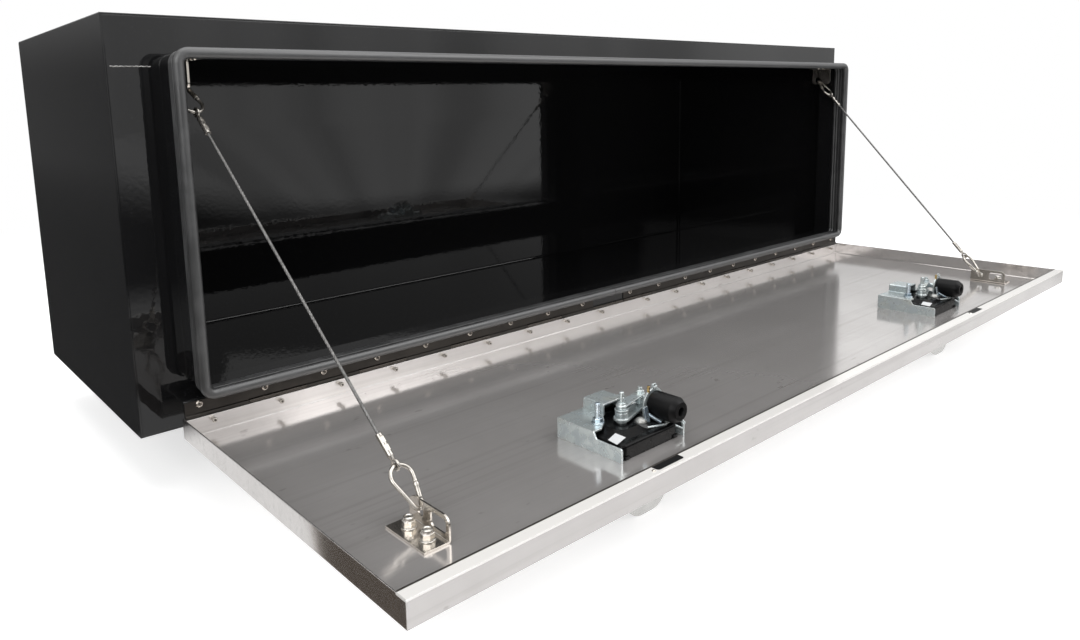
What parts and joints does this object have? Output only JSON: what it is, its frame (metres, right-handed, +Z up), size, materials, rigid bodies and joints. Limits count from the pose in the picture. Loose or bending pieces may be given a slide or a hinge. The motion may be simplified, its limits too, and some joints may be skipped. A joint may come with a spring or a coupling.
{
  "type": "tool box",
  "caption": "Underbody truck tool box: black sheet steel body with a collared opening, stainless drop-down door, wire stays with snap hooks and folding handle latches.",
  "frame": {"origin": "centre of the cabinet's flat top face, where the box hangs under a truck bed", "axes": "+Z up, -Y towards the door and the user, +X to the right when facing the door; stored with the door fully open"},
  "size_m": [1.524, 0.89, 0.5282],
  "materials": {
    "black_coat": "glossy black powder coat",
    "seal_rubber": "matte bulb seal",
    "stainless_sheet": "mill finish stainless sheet",
    "hinge_steel": "satin stainless",
    "rivet_steel": "bright stainless",
    "bracket_steel": "bright stainless",
    "stay_steel": "polished stainless",
    "wire_rope": "coated wire rope",
    "zinc": "blue white zinc plate",
    "latch_black": "satin black",
    "handle_steel": "polished stainless",
    "roller_rubber": "smooth black rubber",
    "brass": "bright brass"
  },
  "bodies": {
    "cabinet": {"shell_wrap": "black_coat", "left_end": "black_coat", "right_end": "black_coat", "front_frame": "black_coat", "door_seal": "seal_rubber", "hinge_rail": "black_coat", "hinge_leaf_box_left": "hinge_steel", "hinge_leaf_box_right": "hinge_steel", "hinge_pins": "hinge_steel", "box_rivets": "rivet_steel", "stay_bracket_top_left": "bracket_steel", "stay_bracket_top_right": "bracket_steel", "top_bracket_rivets": "rivet_steel"},
    "door": {"door_pan": "stainless_sheet", "hinge_leaf_door_left": "hinge_steel", "hinge_leaf_door_right": "hinge_steel", "door_rivets": "rivet_steel", "stay_bracket_door_left": "bracket_steel", "stay_bracket_door_right": "bracket_steel", "bracket_screws": "bracket_steel", "bracket_nuts": "bracket_steel", "lip_pads": "roller_rubber", "lip_screws": "rivet_steel", "handle_pins": "handle_steel", "pivot_pins": "zinc", "latch_studs": "zinc", "latch_nuts": "zinc", "brass_pins": "brass", "latch_housing_left": "zinc", "latch_cup_left": "latch_black", "latch_bezel_left": "latch_black", "latch_guide_left": "zinc", "latch_housing_right": "zinc", "latch_cup_right": "latch_black", "latch_bezel_right": "latch_black", "latch_guide_right": "zinc"},
    "latch_handle_left": {"latch_handle_left": "handle_steel"},
    "latch_lever_left": {"latch_lever_left": "zinc"},
    "latch_bolt_left": {"latch_bolt_left": "zinc", "latch_roller_left": "roller_rubber"},
    "stay_upper_left": {"snap_top_left": "stay_steel", "ferrule_top_left": "stay_steel", "cable_upper_left": "wire_rope"},
    "stay_lower_left": {"cable_lower_left": "wire_rope", "ferrule_low_left": "stay_steel"},
    "snap_low_left": {"snap_low_left": "stay_steel"},
    "snap_gate_top_left": {"snap_gate_top_left": "stay_steel"},
    "snap_gate_low_left": {"snap_gate_low_left": "stay_steel"},
    "latch_handle_right": {"latch_handle_right": "handle_steel"},
    "latch_lever_right": {"latch_lever_right": "zinc"},
    "latch_bolt_right": {"latch_bolt_right": "zinc", "latch_roller_right": "roller_rubber"},
    "stay_upper_right": {"snap_top_right": "stay_steel", "ferrule_top_right": "stay_steel", "cable_upper_right": "wire_rope"},
    "stay_lower_right": {"cable_lower_right": "wire_rope", "ferrule_low_right": "stay_steel"},
    "snap_low_right": {"snap_low_right": "stay_steel"},
    "snap_gate_top_right": {"snap_gate_top_right": "stay_steel"},
    "snap_gate_low_right": {"snap_gate_low_right": "stay_steel"}
  },
  "joints": [
    {"name": "door_hinge", "type": "hinge", "parent": "cabinet", "child": "door", "pos_m": [0, -0.248, -0.4327], "axis": [-1, 0, 0], "range_deg": [0, 90]},
    {"name": "latch_handle_left_fold", "type": "hinge", "parent": "door", "child": "latch_handle_left", "pos_m": [-0.3795, -0.6045, -0.4572], "axis": [1, 0, 0], "range_deg": [0, 90]},
    {"name": "latch_lever_left_swing", "type": "hinge", "parent": "door", "child": "latch_lever_left", "pos_m": [-0.384, -0.575, -0.4555], "axis": [0, 0, -1], "range_deg": [0, 13.41]},
    {"name": "latch_bolt_left_slide", "type": "slide", "parent": "door", "child": "latch_bolt_left", "axis": [0, -1, 0], "range_m": [0, 0.01002]},
    {"name": "stay_upper_left_swing", "type": "hinge", "parent": "cabinet", "child": "stay_upper_left", "pos_m": [-0.688, -0.21476, -0.07294], "axis": [0.991, 0.1335, 0], "range_deg": [0, 44.33], "deforming": ["cable_upper_left", "ferrule_top_left"]},
    {"name": "stay_lower_left_fold", "type": "hinge", "parent": "stay_upper_left", "child": "stay_lower_left", "pos_m": [-0.66273, -0.40231, -0.2668], "axis": [-0.7116, -0.549, 0.4384], "range_deg": [0, 162.5], "deforming": ["cable_lower_left", "ferrule_low_left"]},
    {"name": "snap_low_left_swing", "type": "hinge", "parent": "door", "child": "snap_low_left", "pos_m": [-0.64, -0.57108, -0.44123], "axis": [-1, 0, 0], "range_deg": [0, 45.97]},
    {"name": "snap_gate_top_left_press", "type": "hinge", "parent": "stay_upper_left", "child": "snap_gate_top_left", "pos_m": [-0.68272, -0.22042, -0.07941], "axis": [-0.0955, 0.7092, -0.6985], "range_deg": [0, 7], "stiffness_Nm_per_rad": 0.02},
    {"name": "snap_gate_low_left_press", "type": "hinge", "parent": "snap_low_left", "child": "snap_gate_low_left", "pos_m": [-0.6364, -0.56423, -0.43477], "axis": [0.0955, -0.7092, 0.6985], "range_deg": [0, 2.5], "stiffness_Nm_per_rad": 0.02},
    {"name": "latch_handle_right_fold", "type": "hinge", "parent": "door", "child": "latch_handle_right", "pos_m": [0.3725, -0.6045, -0.4572], "axis": [1, 0, 0], "range_deg": [0, 90]},
    {"name": "latch_lever_right_swing", "type": "hinge", "parent": "door", "child": "latch_lever_right", "pos_m": [0.368, -0.575, -0.4555], "axis": [0, 0, -1], "range_deg": [0, 13.41]},
    {"name": "latch_bolt_right_slide", "type": "slide", "parent": "door", "child": "latch_bolt_right", "axis": [0, -1, 0], "range_m": [0, 0.01002]},
    {"name": "stay_upper_right_swing", "type": "hinge", "parent": "cabinet", "child": "stay_upper_right", "pos_m": [0.688, -0.21476, -0.07294], "axis": [0.991, -0.1335, 0], "range_deg": [0, 44.33], "deforming": ["cable_upper_right", "ferrule_top_right"]},
    {"name": "stay_lower_right_fold", "type": "hinge", "parent": "stay_upper_right", "child": "stay_lower_right", "pos_m": [0.66273, -0.40231, -0.2668], "axis": [-0.7116, 0.549, -0.4384], "range_deg": [0, 162.5], "deforming": ["cable_lower_right", "ferrule_low_right"]},
    {"name": "snap_low_right_swing", "type": "hinge", "parent": "door", "child": "snap_low_right", "pos_m": [0.64, -0.57108, -0.44123], "axis": [-1, 0, 0], "range_deg": [0, 45.97]},
    {"name": "snap_gate_top_right_press", "type": "hinge", "parent": "stay_upper_right", "child": "snap_gate_top_right", "pos_m": [0.68272, -0.22042, -0.07941], "axis": [-0.0955, -0.7092, 0.6985], "range_deg": [0, 7], "stiffness_Nm_per_rad": 0.02},
    {"name": "snap_gate_low_right_press", "type": "hinge", "parent": "snap_low_right", "child": "snap_gate_low_right", "pos_m": [0.6364, -0.56423, -0.43477], "axis": [0.0955, 0.7092, -0.6985], "range_deg": [0, 2.5], "stiffness_Nm_per_rad": 0.02}
  ],
  "couplings": [
    {"joint": "latch_lever_left_swing", "follows": "latch_handle_left_fold", "ratio": 0.14881},
    {"joint": "latch_bolt_left_slide", "follows": "latch_handle_left_fold", "m_per_rad": 0.0063662},
    {"joint": "stay_upper_left_swing", "follows": "door_hinge", "ratio": 0.49234},
    {"joint": "stay_lower_left_fold", "follows": "door_hinge", "ratio": 1.8054},
    {"joint": "snap_low_left_swing", "follows": "door_hinge", "ratio": 0.51052},
    {"joint": "latch_lever_right_swing", "follows": "latch_handle_right_fold", "ratio": 0.14881},
    {"joint": "latch_bolt_right_slide", "follows": "latch_handle_right_fold", "m_per_rad": 0.0063662},
    {"joint": "stay_upper_right_swing", "follows": "door_hinge", "ratio": 0.49234},
    {"joint": "stay_lower_right_fold", "follows": "door_hinge", "ratio": 1.8054},
    {"joint": "snap_low_right_swing", "follows": "door_hinge", "ratio": 0.51052}
  ]
}
